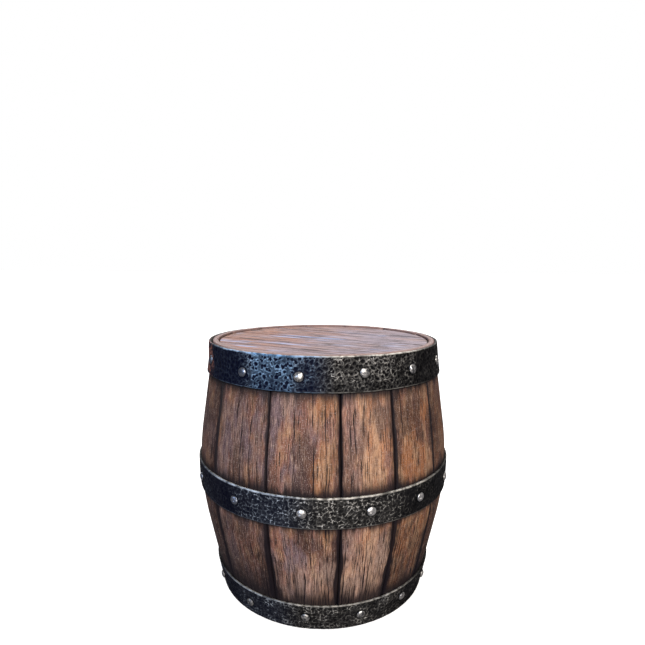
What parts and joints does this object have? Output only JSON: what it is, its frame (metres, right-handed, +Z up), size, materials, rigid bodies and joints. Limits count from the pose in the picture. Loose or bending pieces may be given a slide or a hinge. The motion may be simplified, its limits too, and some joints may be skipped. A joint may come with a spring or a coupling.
{
  "type": "beer keg",
  "caption": "Squat wooden keg of bowed staves, with wide hammered-iron hoops held by dome-headed nails, jointed heads set in a thin rim, and a pull-out filling bung.",
  "frame": {"origin": "on the keg's axis at the floor, where the stave ends rest", "axes": "+Z up along the keg's axis, -Y to the front, the bung and tap hole at the back on +Y"},
  "size_m": [0.4563, 0.4554, 0.45],
  "materials": {
    "stave_wood": "weathered oak, open grain, dark wash in the grain",
    "head_wood": "worn oak, rubbed pale",
    "hoop_iron": "blackened, closely hammered, ridges rubbed bright",
    "nail_steel": "dull bright, slightly dented",
    "dowel_wood": "plain, unseen",
    "bush_brass": "turned, tarnished",
    "bung_wood": "turned, end grain outward"
  },
  "bodies": {
    "keg": {"stave_01": "stave_wood", "stave_02": "stave_wood", "stave_03": "stave_wood", "stave_04": "stave_wood", "stave_05": "stave_wood", "stave_06": "stave_wood", "stave_07": "stave_wood", "stave_08": "stave_wood", "stave_09": "stave_wood", "stave_10": "stave_wood", "stave_11": "stave_wood", "stave_12": "stave_wood", "stave_13": "stave_wood", "top_head_board_1": "head_wood", "top_head_board_2": "head_wood", "top_head_board_3": "head_wood", "top_head_board_4": "head_wood", "top_head_board_5": "head_wood", "bottom_head_board_1": "head_wood", "bottom_head_board_2": "head_wood", "bottom_head_board_3": "head_wood", "bottom_head_board_4": "head_wood", "bottom_head_board_5": "head_wood", "top_hoop": "hoop_iron", "bilge_hoop": "hoop_iron", "bottom_hoop": "hoop_iron", "top_hoop_nails": "nail_steel", "bilge_hoop_nails": "nail_steel", "bottom_hoop_nails": "nail_steel", "hoop_lap_rivets": "nail_steel", "top_head_dowels": "dowel_wood", "bottom_head_dowels": "dowel_wood", "bung_bush": "bush_brass", "tap_bush": "bush_brass", "tap_keystone": "bung_wood"},
    "bung": {"bung": "bung_wood"}
  },
  "joints": [
    {"name": "bung_pull", "type": "slide", "parent": "keg", "child": "bung", "axis": [0, 0.9853, 0.1707], "range_m": [0, 0.06]}
  ]
}
